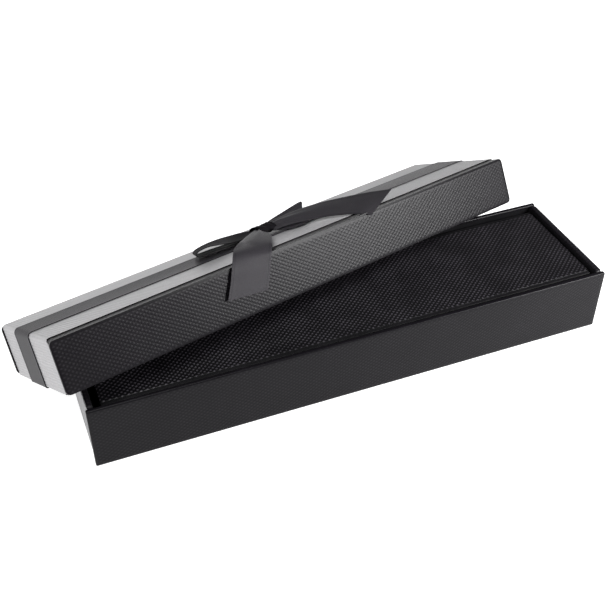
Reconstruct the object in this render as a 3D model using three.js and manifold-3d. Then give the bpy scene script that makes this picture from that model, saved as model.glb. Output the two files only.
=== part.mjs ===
// Jewellery gift box: a long low base tray, a lift-out insert, and a telescoping lid with a
// silver band, a ribbon and a bow. The lid leans on the base, half off it.
// Millimetres, +Z up. The origin is the centre of the base's underside, and +X runs along it.

import * as THREE from 'three';
import * as BufferGeometryUtils from 'three/addons/utils/BufferGeometryUtils.js';
import Module from 'manifold-3d';

const wasm = await Module();
wasm.setup();

// Base tray
const BASE_LENGTH = 206;
const BASE_WIDTH = 53.3;
const BASE_HEIGHT = 26.9;
const BASE_BOARD = 1.8;
const END_SETBACK = 0.5;
const END_CORNER_RADIUS = 1.4;
const LONG_CORNER_RADIUS = 0.6;
const BASE_FIT = 0.1;

// A corner too sharp to see as round, and how far a cutting block stands clear
const SHARP_CORNER_RADIUS = 0.05;
const CUT_MARGIN = 1;

// Papers and ribbon
const SILVER_PAPER = 0.3;
const LINING_PAPER = 0.2;
const RIBBON_THICKNESS = 0.35;
const RIBBON_WIDTH = 16;
const RIBBON_CENTRE_Y = 3.1;

// Insert
const INSERT_LENGTH = 196.6;
const INSERT_SHIFT_X = 0.9;
const INSERT_WIDTH = 47.4;
const INSERT_TOP = 24.35;
const INSERT_LEDGE_WIDTH = 2.4;
const INSERT_LEDGE_DROP = 0.7;
const INSERT_COVER = 0.6;
const INSERT_UNDERSIDE = 2.4;
const INSERT_FLANGE_UNDERSIDE = 12;

// Lid, in its own frame: the origin is the centre of its rim, and its top is at LID_HEIGHT
const LID_LENGTH = 208.8;
const LID_WIDTH = 56;
const LID_HEIGHT = 19.5;
const LID_BOARD = 1.2;
const LID_END_SETBACK = 0.8;
const LID_CORNER_RADIUS = 1.8;
const LID_BEND_RADIUS = 1.1;
const LID_FIT = 0.15;
const SILVER_FRONT_TOP = -23.3;
const SILVER_FRONT_END = -25.6;
const SILVER_BACK_TOP = 27.3;
const SILVER_BACK_END = 26.5;
const RIBBON_TAB_HEIGHT = 9;

// How the lid lies: its ceiling rests on the base's back left corner, its front rim on the
// base's back wall, and its back right corner on the table
const LID_CENTRE = new THREE.Vector3(-13.5, 26.69, 17.03);
const LID_TURN = 15.1;
const LID_TIP = 1.8;
const LID_LEAN = -28.86;

// Derived places
const longInner = BASE_WIDTH / 2 - BASE_BOARD;
const endOuter = BASE_LENGTH / 2 - END_SETBACK - SILVER_PAPER - BASE_FIT;
const endInner = endOuter - BASE_BOARD;
const lidLongInner = LID_WIDTH / 2 - LID_BOARD;
const lidEndOuter = LID_LENGTH / 2 - LID_END_SETBACK;
const lidEndInner = lidEndOuter - LID_BOARD;
const lidTopUnder = LID_HEIGHT - LID_BOARD;
const ribbonOffset = LID_FIT + SILVER_PAPER + LID_FIT;
const ribbonTop = LID_HEIGHT + ribbonOffset + RIBBON_THICKNESS;

const blackPaper = { color: 0x29272b, roughness: 0.45, metalness: 0 };
const silverCard = { color: 0xb4b3b8, roughness: 0.55, metalness: 0.2 };
const liningPaper = { color: 0x111113, roughness: 0.6, metalness: 0 };
const blackFoam = { color: 0x18181a, roughness: 0.9, metalness: 0 };
const satinRibbon = { color: 0x4b494e, roughness: 0.4, metalness: 0 };

function part(name, geometry, finish) {
  const mesh = new THREE.Mesh(geometry, new THREE.MeshStandardMaterial(finish));
  mesh.name = name;
  return mesh;
}

// A box given by its lowest and highest corners
function block(low, high) {
  const size = high.map((value, axis) => value - low[axis]);
  const centre = high.map((value, axis) => (value + low[axis]) / 2);
  return new THREE.BoxGeometry(...size).translate(...centre);
}

function toSolid(geometry) {
  const bare = geometry.clone();
  bare.deleteAttribute('normal');
  bare.deleteAttribute('uv');
  const merged = BufferGeometryUtils.mergeVertices(bare, 1e-4);
  const mesh = new wasm.Mesh({
    numProp: 3,
    vertProperties: new Float32Array(merged.attributes.position.array),
    triVerts: new Uint32Array(merged.index.array),
  });
  return new wasm.Manifold(mesh);
}

function toGeometry(solid) {
  const mesh = solid.getMesh();
  const geometry = new THREE.BufferGeometry();
  geometry.setAttribute('position', new THREE.BufferAttribute(mesh.vertProperties, 3));
  geometry.setIndex(new THREE.BufferAttribute(mesh.triVerts, 1));
  geometry.computeVertexNormals();
  return geometry;
}

function cut(body, ...tools) {
  const solid = tools.reduce((left, tool) => left.subtract(toSolid(tool)), toSolid(body));
  return toGeometry(solid);
}

// A rectangle centred on the origin's X and standing on y = 0, with rounded corners
function roundedBoard(width, height, topRadius, bottomRadius) {
  const half = width / 2;
  const shape = new THREE.Shape();
  shape.moveTo(-half + bottomRadius, 0);
  shape.lineTo(half - bottomRadius, 0);
  shape.absarc(half - bottomRadius, bottomRadius, bottomRadius, -Math.PI / 2, 0);
  shape.absarc(half - topRadius, height - topRadius, topRadius, 0, Math.PI / 2);
  shape.absarc(-half + topRadius, height - topRadius, topRadius, Math.PI / 2, Math.PI);
  shape.absarc(-half + bottomRadius, bottomRadius, bottomRadius, Math.PI, 1.5 * Math.PI);
  return shape;
}

// A board that stands along X: its outline is in X and Z, and it runs back from frontY
function longBoard(outline, thickness, frontY) {
  const geometry = new THREE.ExtrudeGeometry(outline, {
    depth: thickness,
    bevelEnabled: false,
    curveSegments: 5,
  });
  return geometry.rotateX(Math.PI / 2).translate(0, frontY + thickness, 0);
}

// A board that stands across the box: its outline is in Y and Z, and it runs up from lowX
function endBoard(outline, thickness, lowX) {
  const geometry = new THREE.ExtrudeGeometry(outline, {
    depth: thickness,
    bevelEnabled: false,
    curveSegments: 5,
  });
  return geometry.rotateX(Math.PI / 2).rotateZ(Math.PI / 2).translate(lowX, 0, 0);
}

// An open tray of even thickness, its mouth up
function tray(halfX, halfY, lowZ, highZ, thickness) {
  const outside = block([-halfX, -halfY, lowZ], [halfX, halfY, highZ]);
  const inside = block(
    [-halfX + thickness, -halfY + thickness, lowZ + thickness],
    [halfX - thickness, halfY - thickness, highZ + CUT_MARGIN],
  );
  return cut(outside, inside);
}

// A box bent along a strip's two edges. Each station is [centre, half width vector].
function bentStrip(stations, thickness, steps) {
  const edge = (side) => new THREE.CatmullRomCurve3(
    stations.map(([centre, across]) => centre.clone().addScaledVector(across, side)),
  );
  const low = edge(-1);
  const high = edge(1);
  const geometry = new THREE.BoxGeometry(1, 1, 1, steps, 2, 1);
  const place = geometry.attributes.position;
  for (let index = 0; index < place.count; index += 1) {
    const along = place.getX(index) + 0.5;
    const from = low.getPoint(along);
    const to = high.getPoint(along);
    const tangent = low.getTangent(along).add(high.getTangent(along));
    const normal = tangent.cross(to.clone().sub(from)).normalize();
    const point = from.lerp(to, place.getY(index) + 0.5);
    point.addScaledVector(normal, place.getZ(index) * thickness);
    place.setXYZ(index, point.x, point.y, point.z);
  }
  geometry.computeVertexNormals();
  return geometry;
}

// The outline, in X and Z, of a sheet that covers the lid's top and both of its ends
function wrapOutline(offset, thickness, lowZ) {
  const inner = lidEndOuter + offset;
  const outer = inner + thickness;
  const ceiling = LID_HEIGHT + offset;
  const roof = ceiling + thickness;
  const innerRadius = LID_BEND_RADIUS + offset;
  const outerRadius = innerRadius + thickness;
  const shape = new THREE.Shape();
  shape.moveTo(-outer, lowZ);
  shape.lineTo(-inner, lowZ);
  shape.absarc(-inner + innerRadius, ceiling - innerRadius, innerRadius, Math.PI, Math.PI / 2, true);
  shape.absarc(inner - innerRadius, ceiling - innerRadius, innerRadius, Math.PI / 2, 0, true);
  shape.lineTo(inner, lowZ);
  shape.lineTo(outer, lowZ);
  shape.absarc(outer - outerRadius, roof - outerRadius, outerRadius, 0, Math.PI / 2);
  shape.absarc(-outer + outerRadius, roof - outerRadius, outerRadius, Math.PI / 2, Math.PI);
  return shape;
}

function extrudeAlongY(outline, lowY, highY) {
  const geometry = new THREE.ExtrudeGeometry(outline, {
    depth: highY - lowY,
    bevelEnabled: false,
    curveSegments: 6,
  });
  return geometry.rotateX(Math.PI / 2).translate(0, highY, 0);
}

function baseParts() {
  const group = new THREE.Group();
  const floor = block([-endInner + BASE_FIT, -longInner + BASE_FIT, 0],
    [endInner - BASE_FIT, longInner - BASE_FIT, BASE_BOARD]);
  group.add(part('base_floor_board', floor, blackPaper));
  const side = roundedBoard(BASE_LENGTH, BASE_HEIGHT, LONG_CORNER_RADIUS, LONG_CORNER_RADIUS);
  group.add(part('base_front_board', longBoard(side, BASE_BOARD, -BASE_WIDTH / 2), blackPaper));
  group.add(part('base_back_board', longBoard(side, BASE_BOARD, longInner), blackPaper));
  const endWidth = 2 * (longInner - BASE_FIT);
  const end = roundedBoard(endWidth, BASE_HEIGHT, END_CORNER_RADIUS, SHARP_CORNER_RADIUS);
  for (const [name, sign] of [['left', -1], ['right', 1]]) {
    const boardLow = sign < 0 ? -endOuter : endInner;
    const paperLow = sign < 0 ? -endOuter - BASE_FIT - SILVER_PAPER : endOuter + BASE_FIT;
    group.add(part(`base_${name}_end_board`, endBoard(end, BASE_BOARD, boardLow), blackPaper));
    group.add(part(`base_${name}_silver_paper`, endBoard(end, SILVER_PAPER, paperLow), silverCard));
  }
  const liner = tray(endInner - BASE_FIT, longInner - BASE_FIT, BASE_BOARD + BASE_FIT,
    BASE_HEIGHT - BASE_BOARD / 2, LINING_PAPER);
  group.add(part('base_lining', liner, liningPaper));
  return group;
}

function insertParts() {
  const group = new THREE.Group();
  const halfX = INSERT_LENGTH / 2;
  const halfY = INSERT_WIDTH / 2;
  const ledgeZ = INSERT_TOP - INSERT_LEDGE_DROP;
  const foamX = halfX - INSERT_COVER - BASE_FIT;
  const foamY = halfY - INSERT_COVER - BASE_FIT;
  const foamTop = ledgeZ - INSERT_COVER - BASE_FIT;
  const foam = block([-foamX, -foamY, INSERT_UNDERSIDE], [foamX, foamY, foamTop]);
  const platform = block([-halfX, -halfY + INSERT_LEDGE_WIDTH, INSERT_FLANGE_UNDERSIDE],
    [halfX, halfY - INSERT_LEDGE_WIDTH, INSERT_TOP]);
  const skirt = block([-halfX, -halfY, INSERT_FLANGE_UNDERSIDE], [halfX, halfY, ledgeZ]);
  const hollow = block([-foamX - BASE_FIT, -foamY - BASE_FIT, 0],
    [foamX + BASE_FIT, foamY + BASE_FIT, foamTop + BASE_FIT]);
  const cover = toSolid(platform).add(toSolid(skirt)).subtract(toSolid(hollow));
  group.add(part('insert_foam', foam, blackFoam));
  group.add(part('insert_cover', toGeometry(cover), blackPaper));
  group.position.x = INSERT_SHIFT_X;
  return group;
}

function lidBoards() {
  const group = new THREE.Group();
  const side = roundedBoard(LID_LENGTH, LID_HEIGHT, LID_CORNER_RADIUS, LID_CORNER_RADIUS);
  group.add(part('lid_front_board', longBoard(side, LID_BOARD, -LID_WIDTH / 2), blackPaper));
  group.add(part('lid_back_board', longBoard(side, LID_BOARD, lidLongInner), blackPaper));
  const boardY = lidLongInner - LID_FIT;
  const top = roundedBoard(2 * lidEndOuter, LID_BOARD, LID_BEND_RADIUS, SHARP_CORNER_RADIUS);
  const topBoard = extrudeAlongY(top, -boardY, boardY).translate(0, 0, lidTopUnder);
  group.add(part('lid_top_board', topBoard, blackPaper));
  const endHeight = lidTopUnder - LID_FIT;
  const end = roundedBoard(2 * boardY, endHeight, SHARP_CORNER_RADIUS, LID_CORNER_RADIUS);
  group.add(part('lid_left_end_board', endBoard(end, LID_BOARD, -lidEndOuter), blackPaper));
  group.add(part('lid_right_end_board', endBoard(end, LID_BOARD, lidEndInner), blackPaper));
  const linerX = lidEndInner - 2 * LID_FIT - RIBBON_THICKNESS;
  const linerTop = lidTopUnder - LID_FIT;
  const liner = tray(linerX, boardY, -linerTop, -LID_CORNER_RADIUS, LINING_PAPER);
  group.add(part('lid_lining', liner.rotateX(Math.PI), liningPaper));
  return group;
}

function lidWraps() {
  const group = new THREE.Group();
  const outline = wrapOutline(LID_FIT, SILVER_PAPER, 0);
  const silver = extrudeAlongY(outline, SILVER_FRONT_END, SILVER_BACK_TOP);
  const flatX = lidEndOuter - LID_BEND_RADIUS;
  const clearTop = LID_HEIGHT + CUT_MARGIN;
  const trims = [
    block([-flatX, -LID_WIDTH, CUT_MARGIN], [flatX, SILVER_FRONT_TOP, clearTop]),
    block([flatX - CUT_MARGIN, SILVER_BACK_END, -CUT_MARGIN], [LID_LENGTH, LID_WIDTH, clearTop]),
    block([-LID_LENGTH, SILVER_BACK_END, -CUT_MARGIN], [-flatX + CUT_MARGIN, LID_WIDTH, clearTop]),
  ];
  group.add(part('lid_silver_band', cut(silver, ...trims), silverCard));
  group.add(part('lid_ribbon_band', ribbonBand(), satinRibbon));
  return group;
}

// The ribbon runs over the lid's top and ends, round the rim, and up inside each end
function ribbonBand() {
  const lowY = RIBBON_CENTRE_Y - RIBBON_WIDTH / 2;
  const highY = RIBBON_CENTRE_Y + RIBBON_WIDTH / 2;
  const under = -LID_FIT - RIBBON_THICKNESS;
  let solid = toSolid(extrudeAlongY(wrapOutline(ribbonOffset, RIBBON_THICKNESS, under), lowY, highY));
  const outer = lidEndOuter + ribbonOffset + RIBBON_THICKNESS;
  const tabOuter = lidEndInner - LID_FIT;
  const tabInner = tabOuter - RIBBON_THICKNESS;
  for (const sign of [-1, 1]) {
    const span = (near, far) => (sign < 0 ? [-far, -near] : [near, far]);
    const [footLow, footHigh] = span(tabInner, outer);
    const [tabLow, tabHigh] = span(tabInner, tabOuter);
    const foot = block([footLow, lowY, under], [footHigh, highY, -LID_FIT]);
    const tab = block([tabLow, lowY, under], [tabHigh, highY, RIBBON_TAB_HEIGHT]);
    solid = solid.add(toSolid(foot)).add(toSolid(tab));
  }
  return toGeometry(solid);
}

function bow() {
  const group = new THREE.Group();
  const half = RIBBON_WIDTH / 2;
  const at = (x, y, z) => new THREE.Vector3(x, y, z);
  const across = (x, y, z, reach = half) => at(x, y, z).normalize().multiplyScalar(reach);
  const low = ribbonTop + 0.5;

  const knot = new THREE.IcosahedronGeometry(1, 3).scale(3.6, 5.2, 2.5);
  group.add(part('bow_knot', knot.translate(0.8, 3, low + 2.5), satinRibbon));

  const leftLoop = [
    [at(-4.6, 4, low + 1), across(0, 1, 0, 4)],
    [at(-12, 4, low + 0.2), across(0, 1, 0, 7)],
    [at(-24, 4.5, low + 0.4), across(0, 1, 0)],
    [at(-30, 4.5, low + 1.2), across(0, 1, 0)],
    [at(-29, 4.5, low + 2.8), across(0, 1, 0)],
    [at(-18, 4.5, low + 4), across(0, 1, 0)],
    [at(-10, 4.5, low + 4.2), across(0, 1, 0, 7)],
    [at(-4.6, 4, low + 3.2), across(0, 1, 0, 4)],
  ];
  group.add(part('bow_left_loop', bentStrip(leftLoop, 0.6, 36), satinRibbon));

  const rightLoop = [
    [at(5.5, 6.5, low + 1.6), across(0, 1, 0.1, 2.5)],
    [at(13, 9.5, low + 2.2), across(0, 1, 0.1, 4.5)],
    [at(20.5, 11, low + 3.4), across(0, 1, 0.1, 5)],
    [at(23, 11, low + 4.9), across(0, 1, 0.1, 5)],
    [at(20.5, 11, low + 6.2), across(0, 1, 0.1, 5)],
    [at(13, 9.5, low + 5.4), across(0, 1, 0.1, 4.5)],
    [at(5.5, 6.5, low + 4.2), across(0, 1, 0.1, 2.5)],
  ];
  group.add(part('bow_right_loop', bentStrip(rightLoop, 0.6, 32), satinRibbon));

  const rightTail = [
    [at(6, -0.5, low + 0.9), across(0.1, 1, 0.2, 2.8)],
    [at(14, -3, low + 1.4), across(0.2, 1, 0.25, 5.5)],
    [at(25, -8, low + 2.4), across(0.4, 1, 0.3)],
    [at(34, -14, low + 3), across(0.6, 1, 0.3)],
    [at(41, -19.5, low + 3), across(0.8, 1, 0.3, 10)],
  ];
  group.add(part('bow_right_tail', bentStrip(rightTail, 0.6, 24), satinRibbon));

  const frontTail = [
    [at(-1, -3.5, low + 1.8), across(-1, 0.6, 0, 3)],
    [at(-6, -9, low + 3), across(-1, 0.5, 0.1, 7)],
    [at(-14, -20, low + 3), across(-1, 0.3, 0.1)],
    [at(-19, -28, low + 1), across(-1, 0.1, 0.2)],
    [at(-22, -30.5, low - 3.5), across(-1, 0, 0.2)],
    [at(-26, -30.5, 12), across(-1, 0, 0.1)],
    [at(-29, -31, 8), across(-1, 0, 0)],
  ];
  group.add(part('bow_front_tail', bentStrip(frontTail, 0.6, 30), satinRibbon));
  return group;
}

const box = new THREE.Group();
box.add(baseParts());
box.add(insertParts());

const lid = new THREE.Group();
lid.add(lidBoards());
lid.add(lidWraps());
lid.add(bow());
lid.position.copy(LID_CENTRE);
lid.rotation.set(
  THREE.MathUtils.degToRad(LID_LEAN),
  THREE.MathUtils.degToRad(LID_TIP),
  THREE.MathUtils.degToRad(LID_TURN),
  'ZYX',
);
box.add(lid);

export default box;
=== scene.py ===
"""Jewellery gift box: a black embossed tray with a lift-out insert, and its lid.

The lid carries a silver band, a satin ribbon and a bow, and leans on the tray.
Shapes are made in millimetres, and are turned to metres when a piece is finished.
"""

from __future__ import annotations

import logging
import math
from collections.abc import Callable, Iterable, Sequence
from dataclasses import dataclass, field
from enum import Enum

import bmesh
import bpy
from mathutils import Matrix, Vector, noise

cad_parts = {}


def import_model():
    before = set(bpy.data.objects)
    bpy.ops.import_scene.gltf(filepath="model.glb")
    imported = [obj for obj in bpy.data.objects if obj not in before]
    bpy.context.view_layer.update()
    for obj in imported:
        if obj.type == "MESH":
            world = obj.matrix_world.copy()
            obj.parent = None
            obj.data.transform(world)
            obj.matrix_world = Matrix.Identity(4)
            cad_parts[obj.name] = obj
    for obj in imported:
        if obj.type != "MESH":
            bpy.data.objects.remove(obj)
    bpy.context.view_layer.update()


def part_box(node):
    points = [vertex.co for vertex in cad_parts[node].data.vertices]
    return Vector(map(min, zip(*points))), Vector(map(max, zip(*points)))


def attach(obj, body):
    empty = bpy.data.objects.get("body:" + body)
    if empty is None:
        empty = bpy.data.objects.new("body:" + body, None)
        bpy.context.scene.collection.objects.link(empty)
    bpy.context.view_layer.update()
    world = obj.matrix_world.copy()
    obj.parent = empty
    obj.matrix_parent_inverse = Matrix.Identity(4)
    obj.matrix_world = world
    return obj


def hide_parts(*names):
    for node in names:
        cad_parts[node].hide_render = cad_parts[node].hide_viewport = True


log = logging.getLogger("gift_box")

MM = 0.001
UV_NAME = "surface_mm"
SMOOTH_ANGLE = math.radians(38.0)
FOLD_ANGLE = math.radians(60.0)


class Body(Enum):
    """The moving bodies that pieces ride on."""

    BASE = "base"
    INSERT = "insert"
    LID = "lid"


class Slot(Enum):
    """The kinds of material, passed with each piece; nothing reads them."""

    BLACK_PAPER = "black_embossed_paper"
    SILVER_CARD = "silver_card"
    RIBBON = "satin_ribbon"


# ---------------------------------------------------------------- finishes


class NodeSketch:
    """Builds one material's node tree in short steps."""

    def __init__(self, name: str) -> None:
        """Start a material.

        Args:
            name: The material's name.
        """
        self.material = bpy.data.materials.new(name)
        self.material.use_nodes = True
        self.tree = self.material.node_tree
        self.shader = self.tree.nodes["Principled BSDF"]

    def node(self, kind: str, **values: object) -> bpy.types.Node:
        """Add a node.

        Args:
            kind: The node's type, without its "ShaderNode" prefix.
            **values: Input sockets by name with spaces as underscores, or properties in lower case.

        Returns:
            The new node.
        """
        made = self.tree.nodes.new("ShaderNode" + kind)
        for key, value in values.items():
            if key[0].isupper():
                made.inputs[key.replace("_", " ")].default_value = value
            else:
                setattr(made, key, value)
        return made

    def link(self, source: bpy.types.NodeSocket, target: bpy.types.NodeSocket) -> None:
        """Join two sockets."""
        self.tree.links.new(source, target)

    def math(
        self, operation: str, first: object, second: object = 0.0, third: object = 0.0
    ) -> bpy.types.NodeSocket:
        """Add a Math node.

        Args:
            operation: The Math node's operation.
            first: A socket or a number.
            second: A socket or a number.
            third: A socket or a number.

        Returns:
            The node's output.
        """
        made = self.node("Math", operation=operation)
        for place, value in enumerate((first, second, third)):
            if isinstance(value, bpy.types.NodeSocket):
                self.link(value, made.inputs[place])
            else:
                made.inputs[place].default_value = value
        return made.outputs[0]

    def own_uv(self) -> tuple[bpy.types.NodeSocket, bpy.types.NodeSocket]:
        """Read the piece's own UV map, which is in millimetres.

        Returns:
            The U and V sockets.
        """
        coordinates = self.node("UVMap", uv_map=UV_NAME)
        split = self.node("SeparateXYZ")
        self.link(coordinates.outputs["UV"], split.inputs[0])
        return split.outputs[0], split.outputs[1]

    def noise(self, scale: float, detail: float, roughness: float = 0.5) -> bpy.types.NodeSocket:
        """Add a noise texture on Object coordinates.

        Args:
            scale: Cells per metre.
            detail: Octaves.
            roughness: How strongly the finer octaves show.

        Returns:
            The noise's factor.
        """
        coordinates = self.node("TexCoord")
        texture = self.node("TexNoise", Scale=scale, Detail=detail, Roughness=roughness)
        self.link(coordinates.outputs["Object"], texture.inputs["Vector"])
        return texture.outputs["Fac"]

    def bump(
        self,
        height: bpy.types.NodeSocket,
        depth: float,
        under: bpy.types.NodeSocket | None = None,
    ) -> bpy.types.NodeSocket:
        """Add a bump of a real depth.

        Args:
            height: A height from 0 to 1.
            depth: The height of 1, in metres.
            under: The normal of a bump that lies under this one.

        Returns:
            The bumped normal.
        """
        made = self.node("Bump", Strength=1.0, Distance=depth)
        self.link(height, made.inputs["Height"])
        if under is not None:
            self.link(under, made.inputs["Normal"])
        return made.outputs["Normal"]

    def ramp(
        self,
        factor: bpy.types.NodeSocket,
        low: Sequence[float],
        high: Sequence[float],
        span: tuple[float, float] = (0.3, 0.7),
    ) -> bpy.types.NodeSocket:
        """Add a two-colour ramp.

        Args:
            factor: What the ramp reads.
            low: The colour at the start of the span.
            high: The colour at its end.
            span: Where the ramp starts and ends.

        Returns:
            The colour.
        """
        made = self.node("ValToRGB")
        ends = made.color_ramp.elements
        ends[0].position, ends[1].position = span
        ends[0].color = (*low, 1.0)
        ends[1].color = (*high, 1.0)
        self.link(factor, made.inputs[0])
        return made.outputs["Color"]

    def colour(self, source: bpy.types.NodeSocket) -> None:
        """Give the shader its colour."""
        self.link(source, self.shader.inputs["Base Color"])

    def finish(self, normal: bpy.types.NodeSocket, **values: object) -> bpy.types.Material:
        """Set the shader's plain sockets and its normal.

        Args:
            normal: The bumped normal.
            **values: The shader's sockets by name, with spaces as underscores.

        Returns:
            The finished material.
        """
        self.link(normal, self.shader.inputs["Normal"])
        for key, value in values.items():
            self.shader.inputs[key.replace("_", " ")].default_value = value
        return self.material


@dataclass(frozen=True)
class DiamondGrid:
    """The raised diamonds pressed into the paper, in millimetres."""

    along: float = 2.2
    across: float = 1.57
    height: float = 0.085

    def relief(self, u: float, v: float) -> float:
        """Give the height of the pressed paper.

        Args:
            u: The place along the grid.
            v: The place across it.

        Returns:
            The height, from 0 in a groove to the grid's height on a diamond.
        """
        share = 1.0
        for line in (u / self.along + v / self.across, u / self.along - v / self.across):
            away = abs(2.0 * (line - math.floor(line)) - 1.0)
            share *= away * away * (3.0 - 2.0 * away)
        return self.height * share

    def nodes(self, sketch: NodeSketch) -> bpy.types.NodeSocket:
        """Draw the same grid as shader nodes.

        Args:
            sketch: The material's sketch.

        Returns:
            A height from 0 to 1.
        """
        u, v = sketch.own_uv()
        long_part = sketch.math("DIVIDE", u, self.along)
        cross_part = sketch.math("DIVIDE", v, self.across)
        heights = []
        for operation in ("ADD", "SUBTRACT"):
            line = sketch.math(operation, long_part, cross_part)
            doubled = sketch.math("MULTIPLY", sketch.math("FRACT", line), 2.0)
            away = sketch.math("ABSOLUTE", sketch.math("SUBTRACT", doubled, 1.0))
            rounding = sketch.math("SUBTRACT", 3.0, sketch.math("MULTIPLY", away, 2.0))
            squared = sketch.math("MULTIPLY", away, away)
            heights.append(sketch.math("MULTIPLY", squared, rounding))
        return sketch.math("MULTIPLY", *heights)


INSERT_GRID = DiamondGrid(2.2, 1.88, 0.20)


@dataclass(frozen=True)
class BlackPaper:
    """Black paper with a low sheen, over board.

    Where it has a grid, the tops of the diamonds are painted lighter than the grooves: a painted
    highlight, standing in for light caught on the crests.
    """

    name: str
    tint: tuple[float, float, float] = (0.0042, 0.0037, 0.0048)
    # The light end of the tone: the paper's random mottle, and the painted highlight on the diamond
    # tops.
    tint_mottle_and_highlight: tuple[float, float, float] = (0.0130, 0.0120, 0.0143)
    roughness: float = 0.36
    grain_m: float = 0.000012
    grid: DiamondGrid | None = None
    pressed: bool = False
    specular: float = 0.09

    def material(self) -> bpy.types.Material:
        """Make the material.

        Returns:
            The material.
        """
        sketch = NodeSketch(self.name)
        tone = sketch.noise(90.0, 3.0)
        normal = sketch.bump(sketch.noise(3200.0, 3.0, 0.6), self.grain_m)
        if self.grid is not None:
            relief = self.grid.nodes(sketch)
            # The grid's relief lifts the tone on the diamond tops: painted highlight on the crests.
            tone = sketch.math(
                "ADD", sketch.math("MULTIPLY", tone, 0.35), sketch.math("MULTIPLY", relief, 0.5)
            )
            if self.pressed:
                normal = sketch.bump(relief, self.grid.height * MM, normal)
        sketch.colour(sketch.ramp(tone, self.tint, self.tint_mottle_and_highlight))
        return sketch.finish(
            normal,
            Roughness=self.roughness,
            Specular_IOR_Level=self.specular,
        )


@dataclass(frozen=True)
class SilverCard:
    """Silver grey card with fine ribs across it."""

    name: str
    tint: tuple[float, float, float] = (0.27, 0.266, 0.275)
    tint_light: tuple[float, float, float] = (0.38, 0.376, 0.385)
    roughness: float = 0.46
    metallic: float = 0.35
    rib_pitch: float = 1.14
    rib_depth_m: float = 0.00003
    ribs_along_u: bool = True

    def material(self) -> bpy.types.Material:
        """Make the material.

        Returns:
            The material.
        """
        sketch = NodeSketch(self.name)
        u, v = sketch.own_uv() if self.ribs_along_u else reversed(sketch.own_uv())
        ribs = sketch.math("SINE", sketch.math("MULTIPLY", u, 2.0 * math.pi / self.rib_pitch))
        cross = sketch.math("SINE", sketch.math("MULTIPLY", v, 2.0 * math.pi / self.rib_pitch))
        weave = sketch.math("ADD", ribs, sketch.math("MULTIPLY", cross, 0.6))
        pearl = sketch.noise(1500.0, 2.0, 0.7)
        # The ribs shade the tone lighter and darker along their waves: painted light and shade on
        # the ribs; the pearl noise is the card's own random tone.
        tone = sketch.math(
            "ADD",
            sketch.math("MULTIPLY", pearl, 0.6),
            sketch.math("MULTIPLY_ADD", weave, 0.09, 0.2),
        )
        sketch.colour(sketch.ramp(tone, self.tint, self.tint_light))
        normal = sketch.bump(pearl, 0.00002)
        normal = sketch.bump(weave, self.rib_depth_m, normal)
        return sketch.finish(normal, Roughness=self.roughness, Metallic=self.metallic)


@dataclass(frozen=True)
class SatinRibbon:
    """Charcoal satin, woven across its length, with firm edges."""

    name: str
    tint: tuple[float, float, float] = (0.019, 0.0175, 0.0205)
    tint_light: tuple[float, float, float] = (0.028, 0.0262, 0.030)
    edge_tint: tuple[float, float, float] = (0.014, 0.013, 0.015)
    roughness: float = 0.44
    specular: float = 0.10
    thread_pitch: float = 0.28
    edge_line: float = 0.95
    line_width: float = 0.14
    half_width: float = 8.0

    def material(self) -> bpy.types.Material:
        """Make the material.

        Returns:
            The material.
        """
        sketch = NodeSketch(self.name)
        u, v = sketch.own_uv()
        pearl = sketch.noise(2600.0, 3.0, 0.7)
        cloth = sketch.ramp(pearl, self.tint, self.tint_light)
        from_middle = sketch.math("ABSOLUTE", u)
        from_line = sketch.math("SUBTRACT", from_middle, self.half_width - self.edge_line)
        aside = sketch.math("ABSOLUTE", from_line)
        stitch = sketch.math("LESS_THAN", aside, self.line_width)
        mix = sketch.node("Mix", data_type="RGBA")
        sketch.link(stitch, mix.inputs[0])
        sketch.link(cloth, mix.inputs[6])
        mix.inputs[7].default_value = (*self.edge_tint, 1.0)
        sketch.colour(mix.outputs[2])
        threads = sketch.math("SINE", sketch.math("MULTIPLY", v, 2.0 * math.pi / self.thread_pitch))
        diagonal = sketch.math("ADD", u, v)
        slant = sketch.math("SINE", sketch.math("MULTIPLY", diagonal, math.pi / self.thread_pitch))
        normal = sketch.bump(sketch.math("ADD", threads, slant), 0.000006)
        normal = sketch.bump(pearl, 0.00001, normal)
        return sketch.finish(
            normal,
            Roughness=self.roughness,
            Specular_IOR_Level=self.specular,
            Anisotropic=0.45,
        )


@dataclass(frozen=True)
class BlackFoam:
    """Fine black foam."""

    name: str

    def material(self) -> bpy.types.Material:
        """Make the material.

        Returns:
            The material.
        """
        sketch = NodeSketch(self.name)
        cells = sketch.noise(2400.0, 2.0, 0.8)
        sketch.colour(sketch.ramp(cells, (0.004, 0.004, 0.005), (0.014, 0.014, 0.015)))
        return sketch.finish(sketch.bump(cells, 0.0003), Roughness=0.95)


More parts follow.
